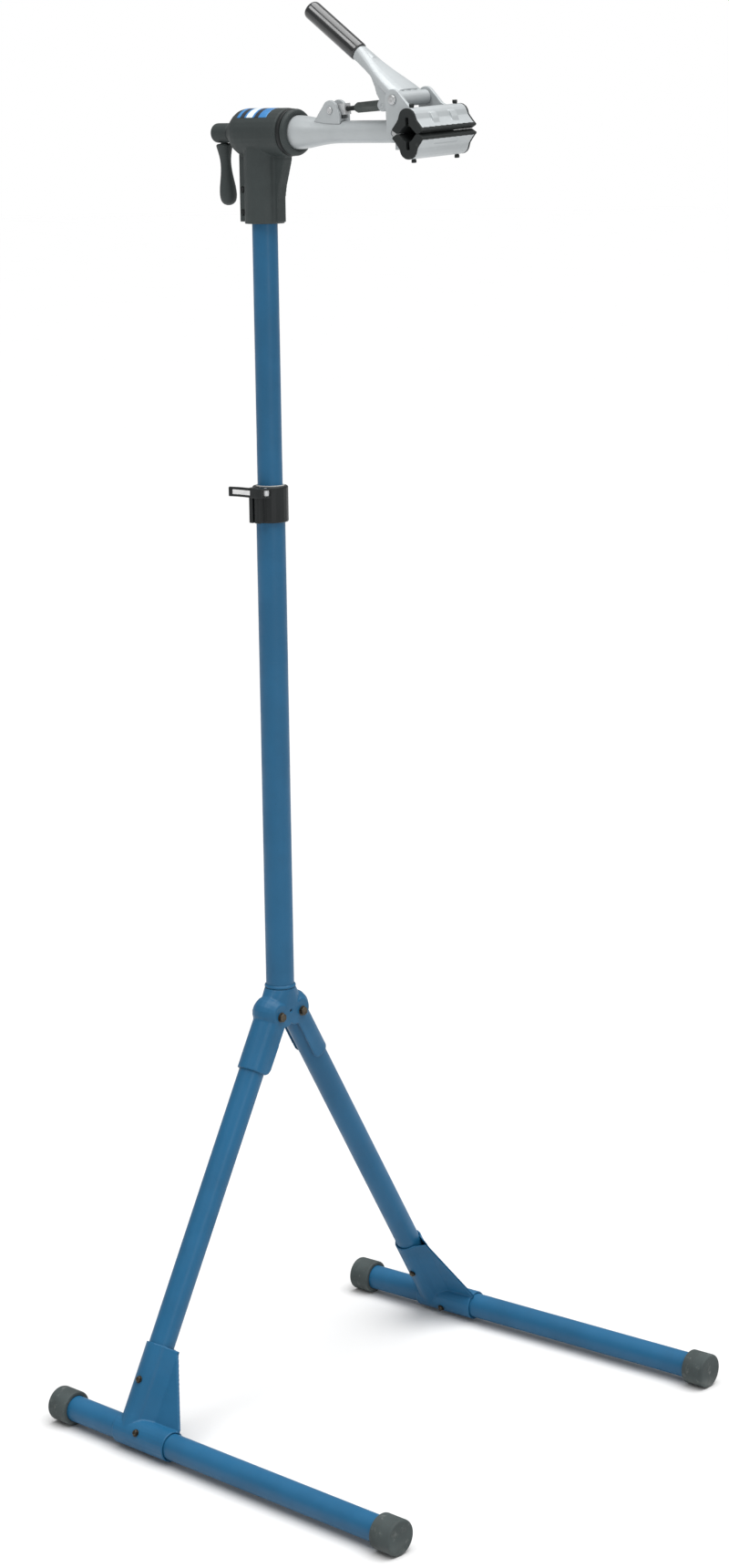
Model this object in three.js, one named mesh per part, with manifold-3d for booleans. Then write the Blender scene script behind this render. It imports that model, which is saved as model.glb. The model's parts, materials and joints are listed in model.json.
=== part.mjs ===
// Two-legged folding bike repair stand with a rotating linkage clamp.
// Millimetres. +X is the way the clamp arm points, +Z is up, the floor is z = 0.
// The finished group is moved so that the origin is the middle of the footprint.
// "left" is the -Y side and "right" the +Y side.
import * as THREE from 'three';
import Module from 'manifold-3d';
import { mergeVertices } from 'three/addons/utils/BufferGeometryUtils.js';
import { ConvexGeometry } from 'three/addons/geometries/ConvexGeometry.js';

const wasm = await Module();
wasm.setup();

// ---------------------------------------------------------------- driving dimensions
const GAP = 0.3;                 // clearance left between touching pieces
const SEG = 24;                  // facets round a tube

const LOWER_R = 16.5;            // lower mast tube, outside radius
const LOWER_WALL = 1.8;
const UPPER_R = 14.3;            // upper mast tube (1 1/8 inch)
const UPPER_WALL = 1.6;
const LEG_R = 15;                // leg and foot tubes
const LEG_TOP_R = 15.9;          // the leg tube's top end is domed to turn inside the hub
const TUBE_WALL = 1.6;
const SHEET = 2.3;               // pressed steel sheet round the tubes

const ARM_Z = 1466;              // height of the clamp arm's axis
const HEAD_BOTTOM = 1367;        // lower end of the head's socket
const COLLAR_BOTTOM = 1033.5;
const COLLAR_HEIGHT = 41;
const MAST_FOOT = 470.3;         // lower end of the lower mast
const LOWER_TOP = 1060;          // upper end of the lower mast, inside the collar
const UPPER_BOTTOM = 800;        // lower end of the upper mast, inside the lower one
const HUB_TOP = 485;

const PIVOT_Y = 18.3;            // leg pivot bolts, either side of the mast
const PIVOT_Z = 454;
const CHANNEL_LENGTH = 70;       // hub channel along each leg
const HUB_LOBE_R = 21.2;         // round lobes of the hub over the legs' top ends
const HUB_LOBE_RISE = 2.6;       // middle of the lobes above the pivots
const HUB_SHOULDER = 8.5;        // how far the hub flares just below the mast
const WING_FRONT = 12.5;         // hub channel's reach past the leg's axis, in front and behind
const WING_REAR = 9.5;
const WING_CORNER = 8;

const CAP_R = 20.2;              // rubber foot caps
const CAP_LENGTH = 28.6;
const FOOT_X = 7.6;              // where the leg axis meets the foot axis
const FOOT_Y = 270.3;
const FOOT_REAR = 124.5;
const FOOT_FRONT = 412.5;
const FOOT_SPLAY = 1.98 * Math.PI / 180;
const BRACKET_TOP = 101;         // foot bracket: height up the leg
const BRACKET_FRONT = 65;        // foot bracket: reach along the foot
const BRACKET_TIP = 24;          // foot bracket: reach along the foot at its top end
const BRACKET_SLOPE = 29;        // foot bracket: from the leg's axis to the start of its thin flange
const BRACKET_LIP = 1.5;         // half thickness of the foot bracket's front edge
const BRACKET_EDGE = 1.25;       // sheet thickness there
const BOLT_UP_LEG = 57;
const BOLT_ALONG_FOOT = 21;

const ARM_R = 12;                // clamp arm tube
const JOURNAL_R = 18.3;          // clamp arm inside the head
const BARREL_R = 26.5;           // head casting round the arm
const JAW_X = 246.5;             // middle of the jaws
const JAW_LENGTH = 90;
const EAR_IN = 25.3;             // upper jaw ears, inner face from the middle plane
const EAR_OUT = 29.3;
const HINGE_X = 215;             // jaw hinge, and lever pivot above it
const LEVER_PIVOT_RISE = 34.5;
const LINK_X = 108;              // link pivot on the arm bracket
const LINK_RISE = 23.5;
const LINK_LENGTH = 79.65;       // from the arm bracket pin to the lever's link pin
const LINK_TILT = 3.53 * Math.PI / 180;
const LEVER_TILT = 144.4 * Math.PI / 180;
const GRIP_START = 84;           // lever grip, from the lever's pivot
const GRIP_LENGTH = 82;
const GRIP_R = 10.4;
const CLAMP_TURN = 3.1;          // degrees the clamp is left turned on the arm's axis

const HANDLE_X = -60.4;          // lock handle behind the head
const LOCK_HUB_R = 10.8;
const LOCK_TURN = 5;             // degrees the lock handle is left turned
const HEAD_BOLT_X = -27.6;
const HEAD_BOLT_SEAT = 3.4;      // depth of the bolts' seats from the socket's middle plane
const HEAD_BOLTS = [-62, -87];   // heights of the head's clamp bolts below the arm axis

const LEVER_PIN_X = 14.3;        // quick-release lever's pivot beside the collar
const LEVER_PIN_Y = -23.6;
const LEVER_Z = COLLAR_BOTTOM + COLLAR_HEIGHT - 5.6;

// ---------------------------------------------------------------- measures that follow
const DEG = 180 / Math.PI;
const LEG_LENGTH = Math.hypot(FOOT_X, FOOT_Y - PIVOT_Y, PIVOT_Z - CAP_R);
const LEG_LEAN = Math.asin(FOOT_X / LEG_LENGTH) * DEG;
const LEG_SPREAD = Math.atan2(FOOT_Y - PIVOT_Y, PIVOT_Z - CAP_R);
// Turn of the foot about the leg's own axis, and the leg's rake back from square to the foot.
const FOOT_TURN = Math.asin(Math.sin(FOOT_SPLAY) * Math.cos(LEG_SPREAD)) * DEG;
const LEG_RAKE = Math.asin(
  (FOOT_X * Math.cos(FOOT_SPLAY) + (FOOT_Y - PIVOT_Y) * Math.sin(FOOT_SPLAY)) / LEG_LENGTH,
) * DEG;

// The link pin's place in the lever's own frame.
const LINK_FROM_PIVOT = new THREE.Vector2(
  LINK_X + LINK_LENGTH * Math.cos(LINK_TILT) - HINGE_X,
  LINK_RISE + LINK_LENGTH * Math.sin(LINK_TILT) - LEVER_PIVOT_RISE,
);
const LINK_U = LINK_FROM_PIVOT.x * Math.cos(LEVER_TILT) + LINK_FROM_PIVOT.y * Math.sin(LEVER_TILT);
const LINK_V = LINK_FROM_PIVOT.x * Math.sin(LEVER_TILT) - LINK_FROM_PIVOT.y * Math.cos(LEVER_TILT);

// ---------------------------------------------------------------- paints and finishes
const BLUE = [0x2d6c9d, 0.42, 0.15];
const CASTING = [0x3b4343, 0.62, 0.2];
const SILVER = [0xb9c0c2, 0.38, 0.45];
const BLACK_METAL = [0x23282a, 0.5, 0.25];
const GRIP_BLACK = [0x15191b, 0.28, 0.0];
const RUBBER = [0x454d4c, 0.82, 0.0];
const JAW_RUBBER = [0x3a4040, 0.8, 0.0];
const ZINC = [0x8f8a76, 0.4, 0.85];
const STEEL = [0x9aa0a2, 0.35, 0.9];
const ADJUSTER = [0x56625f, 0.5, 0.3];
const PALE_PLASTIC = [0xd4d7d6, 0.5, 0.0];

// ---------------------------------------------------------------- solid modelling helpers
function toSolid(geometry) {
  const clean = geometry.clone();
  clean.deleteAttribute('normal');
  clean.deleteAttribute('uv');
  const merged = mergeVertices(clean, 1e-4);
  const triangles = Uint32Array.from(merged.index.array);
  const vertices = Float32Array.from(merged.attributes.position.array);
  const build = () => new wasm.Manifold(new wasm.Mesh({
    numProp: 3, vertProperties: vertices, triVerts: triangles,
  }));
  const first = build();
  if (first.volume() > 0) return first;
  for (let i = 0; i < triangles.length; i += 3) {
    [triangles[i], triangles[i + 1]] = [triangles[i + 1], triangles[i]];
  }
  return build();
}

function toGeometry(solid) {
  const mesh = solid.getMesh();
  const geometry = new THREE.BufferGeometry();
  geometry.setAttribute('position', new THREE.BufferAttribute(mesh.vertProperties, 3));
  geometry.setIndex(new THREE.BufferAttribute(mesh.triVerts, 1));
  geometry.computeVertexNormals();
  return geometry;
}

function node(name, solid, [color, roughness, metalness]) {
  const material = new THREE.MeshStandardMaterial({ color, roughness, metalness });
  const mesh = new THREE.Mesh(toGeometry(solid), material);
  mesh.name = name;
  return mesh;
}

function groupOf(name, ...children) {
  const made = new THREE.Group();
  made.name = name;
  made.add(...children);
  return made;
}

// A body turned round Z from [radius, height] pairs; the profile ends on the axis or closes.
function turned(profile, segments = SEG) {
  const points = profile.map(([r, z]) => new THREE.Vector2(r, z));
  return toSolid(new THREE.LatheGeometry(points, segments).rotateX(Math.PI / 2));
}

function rod(radius, from, to, segments = SEG) {
  return turned([[0, from], [radius, from], [radius, to], [0, to]], segments);
}

function pipe(outer, inner, from, to, segments = SEG) {
  return turned([[inner, from], [outer, from], [outer, to], [inner, to], [inner, from]], segments);
}

function box(from, to) {
  const size = to.map((v, i) => v - from[i]);
  const geometry = new THREE.BoxGeometry(...size);
  geometry.translate(...to.map((v, i) => (v + from[i]) / 2));
  return toSolid(geometry);
}

// A flat outline in (x, z) drawn through the given points, made solid between two y values.
function plate(outline, yFrom, yTo) {
  const shape = new THREE.Shape(outline.map(([x, z]) => new THREE.Vector2(x, z)));
  const geometry = new THREE.ExtrudeGeometry(shape, { depth: yTo - yFrom, bevelEnabled: false });
  geometry.rotateX(Math.PI / 2);
  geometry.translate(0, yTo, 0);
  return toSolid(geometry);
}

function moved(solid, x, y, z) {
  return solid.translate([x, y, z]);
}

const alongX = (solid) => solid.rotate([0, 90, 0]);
const alongY = (solid) => solid.rotate([-90, 0, 0]);

function mirrorOf(solid, normal) {
  return solid.mirror(normal);
}

function joined(...solids) {
  return solids.reduce((whole, next) => whole.add(next));
}

function cutBy(solid, ...cutters) {
  return cutters.reduce((rest, cutter) => rest.subtract(cutter), solid);
}

// Hexagon-headed bolt with its nut, along Z, the head above `top` and the nut below `bottom`.
function throughBolt(radius, bottom, top, headRadius, headHeight) {
  return joined(
    rod(radius, bottom - headHeight * 1.2, top + headHeight * 0.5, 12),
    rod(headRadius, top, top + headHeight, 6),
    rod(headRadius, bottom - headHeight, bottom, 6),
  );
}

// ---------------------------------------------------------------- mast
function lowerMast() {
  const inner = LOWER_R - LOWER_WALL;
  return node('lower_mast_tube', pipe(LOWER_R, inner, MAST_FOOT, LOWER_TOP), BLUE);
}

function upperMast() {
  const inner = UPPER_R - UPPER_WALL;
  return node('upper_mast_tube', pipe(UPPER_R, inner, UPPER_BOTTOM, ARM_Z - 32), BLUE);
}

function mastBushing() {
  const lip = COLLAR_BOTTOM + COLLAR_HEIGHT + 1;
  const sleeve = pipe(LOWER_R, UPPER_R + GAP, LOWER_TOP + GAP, lip);
  const slit = box([-LOWER_R - 1, -1, LOWER_TOP], [0, 1, lip + 1]);
  return node('mast_bushing', cutBy(sleeve, slit), PALE_PLASTIC);
}

function mastFootRing() {
  const inner = LOWER_R + GAP;
  const bead = turned([
    [inner, HUB_TOP + GAP], [inner + 0.9, HUB_TOP + GAP], [inner + 1.3, HUB_TOP + 1.6],
    [inner + 0.9, HUB_TOP + 3.2], [inner, HUB_TOP + 4], [inner, HUB_TOP + GAP],
  ]);
  return node('mast_foot_ring', bead, BLUE);
}

// ---------------------------------------------------------------- hub and legs
// Turns a solid drawn along +Z at the pivot into line with one leg, top end up.
function inLegFrame(solid, side) {
  return solid.rotate([0, -LEG_LEAN, 0]).rotate([side * LEG_SPREAD * DEG, 0, 0]);
}

// One side wall of a hub channel, with its free corner cut off.
function wing(side, inward, length, xFrom, xTo) {
  return plate([
    [0, 0],
    [-side * inward, 0],
    [-side * inward, WING_CORNER - length],
    [-side * (inward - WING_CORNER * 0.3), WING_CORNER * 0.3 - length],
    [-side * (inward - WING_CORNER), -length],
    [0, -length],
  ], xFrom, xTo).rotate([0, 0, 90]);
}

// Half-round channel over one leg, open on the side that faces the other leg.
function hubChannel(side, radius, length, front, rear) {
  // The quarter turn in wing() puts its low side in front.
  const walls = [wing(side, front, length, -radius, 0), wing(side, rear, length, 0, radius)];
  return moved(inLegFrame(joined(rod(radius, -length, 0), ...walls), side), 0, side * PIVOT_Y, PIVOT_Z);
}

function pivotSweep(side, radius, reach) {
  return moved(alongX(rod(radius, -reach, reach)), 0, side * PIVOT_Y, PIVOT_Z);
}

// One round lobe over a leg's top end, flat where the pivot bolt's head and nut sit.
function lobePoints(side, radius, face, rise) {
  const points = [];
  for (let ring = 0; ring <= 6; ring += 1) {
    const x = face * (ring / 3 - 1);
    const around = Math.sqrt(radius * radius - x * x);
    for (let k = 0; k < 20; k += 1) {
      const a = k / 20 * 2 * Math.PI;
      points.push(new THREE.Vector3(
        x, side * PIVOT_Y + around * Math.cos(a), PIVOT_Z + rise + around * Math.sin(a),
      ));
    }
  }
  return points;
}

function ovalPoints(halfX, halfY, z) {
  return Array.from({ length: 24 }, (_, k) => new THREE.Vector3(
    halfX * Math.cos(k / 12 * Math.PI), halfY * Math.sin(k / 12 * Math.PI), z,
  ));
}

function hubBracket() {
  const inner = LEG_R + GAP;
  const outer = inner + SHEET;
  const legTop = LEG_TOP_R + 2 * GAP;
  const neckR = LOWER_R + GAP + 1.2;
  const neck = toSolid(new ConvexGeometry([
    ...ovalPoints(neckR, neckR, HUB_TOP),
    ...ovalPoints(neckR, neckR + HUB_SHOULDER, HUB_TOP - 12),
    ...[-outer, outer].flatMap((x) => [-1, 1].map(
      (side) => new THREE.Vector3(x, side * PIVOT_Y, PIVOT_Z - 14),
    )),
  ]));
  const lobes = [-1, 1].map((side) => toSolid(
    new ConvexGeometry(lobePoints(side, HUB_LOBE_R, outer, HUB_LOBE_RISE)),
  ));
  const channels = [-1, 1].map((side) => hubChannel(side, outer, CHANNEL_LENGTH, WING_FRONT, WING_REAR));
  // The wedge the two legs sweep while they fold together.
  const sweep = plate([
    [-PIVOT_Y, PIVOT_Z],
    [PIVOT_Y, PIVOT_Z],
    [PIVOT_Y + 90, PIVOT_Z - 160],
    [-PIVOT_Y - 90, PIVOT_Z - 160],
  ], -inner, inner).rotate([0, 0, 90]);
  const crotch = plate([
    [-PIVOT_Y - 4, PIVOT_Z - 24], [0, PIVOT_Z - 11], [PIVOT_Y + 4, PIVOT_Z - 24],
  ], -outer - 1, outer + 1).rotate([0, 0, 90]);
  const hollows = [-1, 1].flatMap((side) => [
    hubChannel(side, inner, CHANNEL_LENGTH + 40, 24, 24),
    toSolid(new ConvexGeometry(lobePoints(side, legTop, inner, 0))),
    pivotSweep(side, 4.3, outer + 5),
  ]);
  const between = box([-inner, -PIVOT_Y, PIVOT_Z - 60], [inner, PIVOT_Y, PIVOT_Z + 4]);
  const mastSocket = rod(LOWER_R + GAP, MAST_FOOT - GAP, HUB_TOP + 5);
  const pinHole = moved(alongX(rod(1.8, 0, outer + 5, 16)), 0, -1, PIVOT_Z + 4.6);
  const shell = joined(cutBy(joined(neck, ...lobes), crotch), ...channels);
  return node('hub_bracket', cutBy(shell, sweep, between, ...hollows, mastSocket, pinHole), BLUE);
}

function legPivotBolt(name, side) {
  const face = LEG_R + GAP + SHEET + GAP;
  const shank = joined(rod(4, -face - 8, face + 1, 16), rod(6.6, face, face + 4.6, 6));
  return node(name, moved(alongX(shank), 0, side * PIVOT_Y, PIVOT_Z), ZINC);
}

function legPivotNut(name, side) {
  const face = LEG_R + GAP + SHEET + GAP;
  const nut = cutBy(rod(7, -face - 6, -face, 6), rod(4.3, -face - 9, 0, 16));
  return node(name, moved(alongX(nut), 0, side * PIVOT_Y, PIVOT_Z), ZINC);
}

function legTube(name, side) {
  const straight = pipe(LEG_R, LEG_R - TUBE_WALL, -LEG_LENGTH, 0);
  const dome = toSolid(new THREE.SphereGeometry(LEG_TOP_R, 24, 16));
  const roundTop = pipe(LEG_R, LEG_R - TUBE_WALL, -1, LEG_R).intersect(dome);
  const pivotHole = alongX(rod(4.7, -LEG_R - 2, LEG_R + 2, 16));
  const saddle = alongX(rod(LEG_R + 0.8, -60, 60));
  const boltHole = moved(alongY(rod(3.2, -40, 40, 12)), 0, 0, BOLT_UP_LEG);
  const footEnd = moved(joined(saddle, boltHole).rotate([0, 0, side * FOOT_TURN]), 0, 0, -LEG_LENGTH);
  const tube = cutBy(joined(straight, roundTop), pivotHole, footEnd);
  return node(name, inLegFrame(tube, side), BLUE);
}

function footTube(name) {
  const wall = 4;
  const tube = pipe(LEG_R, LEG_R - TUBE_WALL, -FOOT_REAR + wall + GAP, FOOT_FRONT - wall - GAP);
  const hole = moved(alongY(rod(2.8, -LEG_R - 2, LEG_R + 2, 16)), BOLT_ALONG_FOOT, 0, 0);
  return node(name, cutBy(alongX(tube), hole), BLUE);
}

function footCap(name, face, into) {
  const wall = 4;
  const round = 2.2;
  const cup = turned([
    [0, 0], [CAP_R - round, 0], [CAP_R - round * 0.3, round * 0.3], [CAP_R, round],
    [CAP_R, CAP_LENGTH - 1], [CAP_R - 1, CAP_LENGTH], [LEG_R + GAP, CAP_LENGTH],
    [LEG_R + GAP, wall], [0, wall],
  ]);
  return node(name, moved(alongX(into > 0 ? cup : mirrorOf(cup, [0, 0, 1])), face, 0, 0), RUBBER);
}

// Leans a solid drawn up the foot frame's Z into line with the leg.
function upTheLeg(solid) {
  return solid.rotate([0, -LEG_RAKE, 0]);
}

// The web between leg and foot: it slopes from the leg's flank down to a thin flange in front.
// flank and lip are half thicknesses, and open pushes its top and front outwards.
function bracketWeb(flank, lip, open) {
  const bend = 20;
  const top = BRACKET_TOP + open;
  const front = BRACKET_FRONT + 2 + open;
  const rear = -top * Math.sin(LEG_RAKE / DEG);
  const slope = [[0, 0], [rear, top]].flatMap(([x, z]) => [-1, 1].flatMap((side) => [
    new THREE.Vector3(x, side * flank, z),
    new THREE.Vector3(x + BRACKET_SLOPE, side * lip, z),
  ]));
  const flange = plate([[0, 0], [front, 0], [front, bend], [BRACKET_TIP + open, top], [rear, top]], -lip, lip);
  return joined(toSolid(new ConvexGeometry(slope)), flange);
}

// Pressed steel bracket wrapped round the leg and the foot, drawn with the foot along X,
// the leg along Z and its middle plane at y = 0; half is -1 or +1 for either pressing.
function footBracketHalf(name, half) {
  const outer = LEG_R + GAP + SHEET;
  const inner = LEG_R + GAP;
  const flank = outer - 0.6;
  const web = bracketWeb(flank, BRACKET_LIP, 0);
  const hollow = bracketWeb(flank - SHEET, BRACKET_LIP - BRACKET_EDGE, 1.2);
  const skin = joined(
    upTheLeg(rod(outer, 0, BRACKET_TOP)),
    alongX(rod(outer, -outer, BRACKET_FRONT)),
    web,
  );
  const legRoom = upTheLeg(rod(inner, 0, BRACKET_TOP + 20));
  const footRoom = alongX(rod(inner, -60, 120));
  const holes = [
    upTheLeg(moved(alongY(rod(2.8, -40, 40, 12)), 0, 0, BOLT_UP_LEG)),
    moved(alongY(rod(2.8, -40, 40, 12)), BOLT_ALONG_FOOT, 0, 0),
  ];
  const body = cutBy(skin, legRoom, footRoom, hollow, ...holes);
  const keep = half > 0 ? box([-60, GAP / 2, -60], [160, 60, 160]) : box([-60, -60, -60], [160, -GAP / 2, 160]);
  return node(name, body.intersect(keep), BLUE);
}

function bracketBolt(name, x, z) {
  const face = LEG_R + 2 * GAP + SHEET;
  const bolt = moved(alongY(throughBolt(2.5, -face, face, 4.6, 2.6)), x, 0, z);
  return node(name, z > 0 ? upTheLeg(bolt) : bolt, ZINC);
}

function leg(sideName, side) {
  const made = groupOf(`${sideName}_leg`, legTube(`${sideName}_leg_tube`, side));
  made.position.set(0, side * PIVOT_Y, PIVOT_Z);

  const foot = groupOf(
    `${sideName}_foot`,
    footTube(`${sideName}_foot_tube`),
    footCap(`${sideName}_front_foot_cap`, FOOT_FRONT, -1),
    footCap(`${sideName}_rear_foot_cap`, -FOOT_REAR, 1),
    footBracketHalf(`${sideName}_foot_bracket_near_half`, -1),
    footBracketHalf(`${sideName}_foot_bracket_far_half`, 1),
    bracketBolt(`${sideName}_leg_bracket_bolt`, 0, BOLT_UP_LEG),
    bracketBolt(`${sideName}_foot_bracket_bolt`, BOLT_ALONG_FOOT, 0),
  );
  const along = new THREE.Vector3(Math.cos(FOOT_SPLAY), side * Math.sin(FOOT_SPLAY), 0);
  const up = new THREE.Vector3(-FOOT_X, side * (PIVOT_Y - FOOT_Y), PIVOT_Z - CAP_R);
  up.addScaledVector(along, -up.dot(along)).normalize();
  const across = new THREE.Vector3().crossVectors(up, along);
  foot.setRotationFromMatrix(new THREE.Matrix4().makeBasis(along, across, up));
  foot.position.set(FOOT_X, side * (FOOT_Y - PIVOT_Y), CAP_R - PIVOT_Z);
  made.add(foot);
  return made;
}

// ---------------------------------------------------------------- quick-release collar
function mastCollar() {
  const top = COLLAR_BOTTOM + COLLAR_HEIGHT;
  const ring = turned([
    [LOWER_R + GAP, COLLAR_BOTTOM], [19.6, COLLAR_BOTTOM], [20.5, COLLAR_BOTTOM + 1],
    [20.5, top - 1.4], [19.2, top], [LOWER_R + GAP, top], [LOWER_R + GAP, COLLAR_BOTTOM],
  ]);
  const ears = box([-8.4, -25.6, COLLAR_BOTTOM + 0.6], [8.4, -15, top - 0.6]);
  const nose = joined(...[-5.4, 5.4].map(
    (x) => moved(rod(3, COLLAR_BOTTOM + 0.6, top - 0.6, 16), x, -25.6, 0),
  ));
  const bridge = box([-5.4, -28.6, COLLAR_BOTTOM + 0.6], [5.4, -24, top - 0.6]);
  const slit = box([-1.5, -32, COLLAR_BOTTOM - 1], [1.5, -10, top + 1]);
  const bore = rod(LOWER_R + GAP, COLLAR_BOTTOM - 1, top + 1);
  const boltHole = moved(alongX(rod(2.9, -30, 30, 12)), 0, LEVER_PIN_Y, LEVER_Z);
  return node('mast_collar', cutBy(joined(ring, ears, nose, bridge), slit, bore, boltHole), BLACK_METAL);
}

function collarBolt() {
  const shank = moved(alongX(rod(2.5, -15.5, LEVER_PIN_X - 2, 12)), 0, LEVER_PIN_Y, LEVER_Z);
  const eye = moved(rod(4, -3.3, 3.3, 16), LEVER_PIN_X, LEVER_PIN_Y, LEVER_Z);
  const pinHole = moved(rod(1.9, -6, 6, 16), LEVER_PIN_X, LEVER_PIN_Y, LEVER_Z);
  return node('collar_bolt', cutBy(joined(shank, eye), pinHole), STEEL);
}

function collarNut() {
  const nut = cutBy(rod(4.6, 0, 5, 6), rod(2.8, -1, 6, 12));
  return node('collar_nut', moved(alongX(nut), -8.4 - GAP - 5, LEVER_PIN_Y, LEVER_Z), STEEL);
}

// The cam lever, drawn in plan round its pin, closed against the collar.
function collarLever() {
  const camRadius = 5.4;
  const outline = new THREE.Shape();
  outline.moveTo(0, camRadius);
  outline.absarc(0, 0, camRadius, Math.PI / 2, -Math.PI / 2 + 0.4, true);
  outline.quadraticCurveTo(1, -9.6, -5, -9.9);
  outline.quadraticCurveTo(-16, -10.2, -24, -9.3);
  outline.quadraticCurveTo(-34, -8.4, -45, -12);
  outline.lineTo(-46.4, -9.8);
  outline.quadraticCurveTo(-36, -5.4, -24, -6.2);
  outline.lineTo(-5, -6.2);
  outline.quadraticCurveTo(-4.2, -4, -camRadius, 0);
  outline.absarc(0, 0, camRadius, Math.PI, Math.PI / 2, true);
  const geometry = new THREE.ExtrudeGeometry(outline, {
    depth: 9.6, bevelEnabled: true, bevelThickness: 0.6, bevelSize: 0.45, bevelSegments: 1, curveSegments: 5,
  });
  geometry.translate(0, 0, -4.8);
  const slot = box([-7, -6.1, -3.7], [7, 7, 3.7]);
  const pinHole = rod(1.9, -8, 8, 16);
  const lever = node('collar_lever', cutBy(toSolid(geometry), slot, pinHole), BLACK_METAL);
  lever.position.set(LEVER_PIN_X, LEVER_PIN_Y, LEVER_Z);
  return lever;
}

function collarLeverPin() {
  const pin = node('collar_lever_pin', rod(1.6, -5.6, 5.6, 16), STEEL);
  pin.position.set(LEVER_PIN_X, LEVER_PIN_Y, LEVER_Z);
  return pin;
}

// ---------------------------------------------------------------- head
function headCasting() {
  const barrel = alongX(turned([
    [0, -46.5], [LOCK_HUB_R, -46.5], [13.4, -43.6], [22.4, -32.4], [25.2, -27.6],
    [BARREL_R, -21.5], [BARREL_R, 39.4], [BARREL_R - 1.6, 41], [0, 41],
  ], 28));
  const socketBottom = HEAD_BOTTOM - ARM_Z;
  const socket = rod(22.2, socketBottom, 0);
  const earPlate = box([-32, -6, socketBottom + 1.8], [-10, 6, -20]);
  const web = plate([
    [10, socketBottom + 1.8], [26.2, socketBottom + 1.8], [26.2, -72], [28.6, -58],
    [34.2, -39], [37, -29], [37.5, -10], [10, -10],
  ], -6.5, 6.5);
  const bore = alongX(rod(JOURNAL_R + 2, -24, 60, 28));
  const rearHole = alongX(rod(5.4, -60, 0, 16));
  const mastHole = rod(UPPER_R + GAP, socketBottom - 5, -31.5);
  const slit = box([-50, -1.3, socketBottom - 5], [0, 1.3, -36]);
  const boltHoles = HEAD_BOLTS.flatMap((z) => [
    moved(alongY(rod(2.3, -20, 20, 16)), HEAD_BOLT_X, 0, z),
    moved(alongY(rod(3.4, -20, -HEAD_BOLT_SEAT, 12)), HEAD_BOLT_X, 0, z),
    moved(alongY(rod(3.4, HEAD_BOLT_SEAT, 20, 12)), HEAD_BOLT_X, 0, z),
  ]);
  const body = joined(barrel, socket, earPlate, web);
  return node('head_casting', cutBy(body, bore, rearHole, mastHole, slit, ...boltHoles), CASTING);
}

function headBolt(name, z) {
  const seat = HEAD_BOLT_SEAT + GAP;
  const bolt = joined(
    rod(2, -seat - 1, seat + 1, 16),
    rod(3, seat, seat + 3, 12),
    rod(3, -seat - 3, -seat, 6),
  );
  return node(name, moved(alongY(bolt), HEAD_BOLT_X, 0, z), BLACK_METAL);
}

function armBushing() {
  const bushing = turned([
    [JOURNAL_R + GAP, -20], [JOURNAL_R + 1.7, -20], [JOURNAL_R + 1.7, 41.3], [24.6, 41.3],
    [25.8, 42.5], [25.8, 44.8], [24.6, 46], [JOURNAL_R + GAP, 46], [JOURNAL_R + GAP, -20],
  ], 28);
  return node('arm_bushing', alongX(bushing), BLACK_METAL);
}

function lockHandleHub() {
  const hub = turned([
    [0, -72], [8.4, -72], [10.2, -70.8], [LOCK_HUB_R, -68.6], [LOCK_HUB_R, -48], [LOCK_HUB_R - 0.8, -46.8],
    [0, -46.8],
  ]);
  const boltHole = rod(5.3, -66, -40, 16);
  const gripHole = moved(rod(4.3, -30, 0, 16), HANDLE_X, 0, 0);
  return node('lock_handle_hub', cutBy(alongX(hub), alongX(boltHole), gripHole), CASTING);
}

function lockHandleGrip() {
  const grip = turned([
    [0, -80], [4, -79.4], [7.2, -77.2], [9, -73.2], [9.6, -68], [9.2, -61], [7.8, -52],
    [6.4, -43], [6, -36], [6.3, -29], [7.6, -22], [9.2, -14], [9.8, -11], [4, -11], [4, -7], [0, -7],
  ], 20);
  // The seat follows the round underside of the hub.
  const seat = alongX(rod(LOCK_HUB_R + GAP, -120, 0));
  const neck = moved(rod(4, -13, -7, 16), HANDLE_X, 0, 0);
  return node('lock_handle_grip', joined(cutBy(moved(grip, HANDLE_X, 0, 0), seat), neck), CASTING);
}

function drawBolt() {
  return node('draw_bolt', alongX(rod(5, -65.5, -1, 16)), STEEL);
}

// ---------------------------------------------------------------- clamp arm
function armProfile(extra) {
  return [
    [JOURNAL_R + extra, -16], [JOURNAL_R + extra, 56], [18 + extra, 61], [16.6 + extra, 71],
    [14.6 + extra, 83], [13 + extra, 97], [ARM_R + extra, 112],
  ];
}

function clampArm() {
  const end = HINGE_X - 5;
  const outside = alongX(turned([
    [0, -16], ...armProfile(0), [ARM_R, end], [0, end],
  ], SEG));
  const wall = -2.2;
  const inside = alongX(turned([
    [0, -17], [JOURNAL_R + wall, -17], ...armProfile(wall).slice(1), [ARM_R + wall, end - 12], [0, end - 12],
  ], SEG));
  const hinge = moved(alongY(rod(10.6, -EAR_IN + GAP, EAR_IN - GAP)), HINGE_X, 0, 0);
  const pinHole = moved(alongY(rod(4.3, -40, 40, 16)), HINGE_X, 0, 0);
  return node('clamp_arm', cutBy(joined(outside, hinge), inside, pinHole), SILVER);
}

function armFlangeRing() {
  const ring = turned([
    [JOURNAL_R + GAP, 46.4], [24.4, 46.4], [25.4, 47.4], [25.4, 50.4], [23.8, 52.8], [21, 53.6],
    [JOURNAL_R + GAP, 51], [JOURNAL_R + GAP, 46.4],
  ], 28);
  return node('arm_flange_ring', alongX(ring), CASTING);
}

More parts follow.
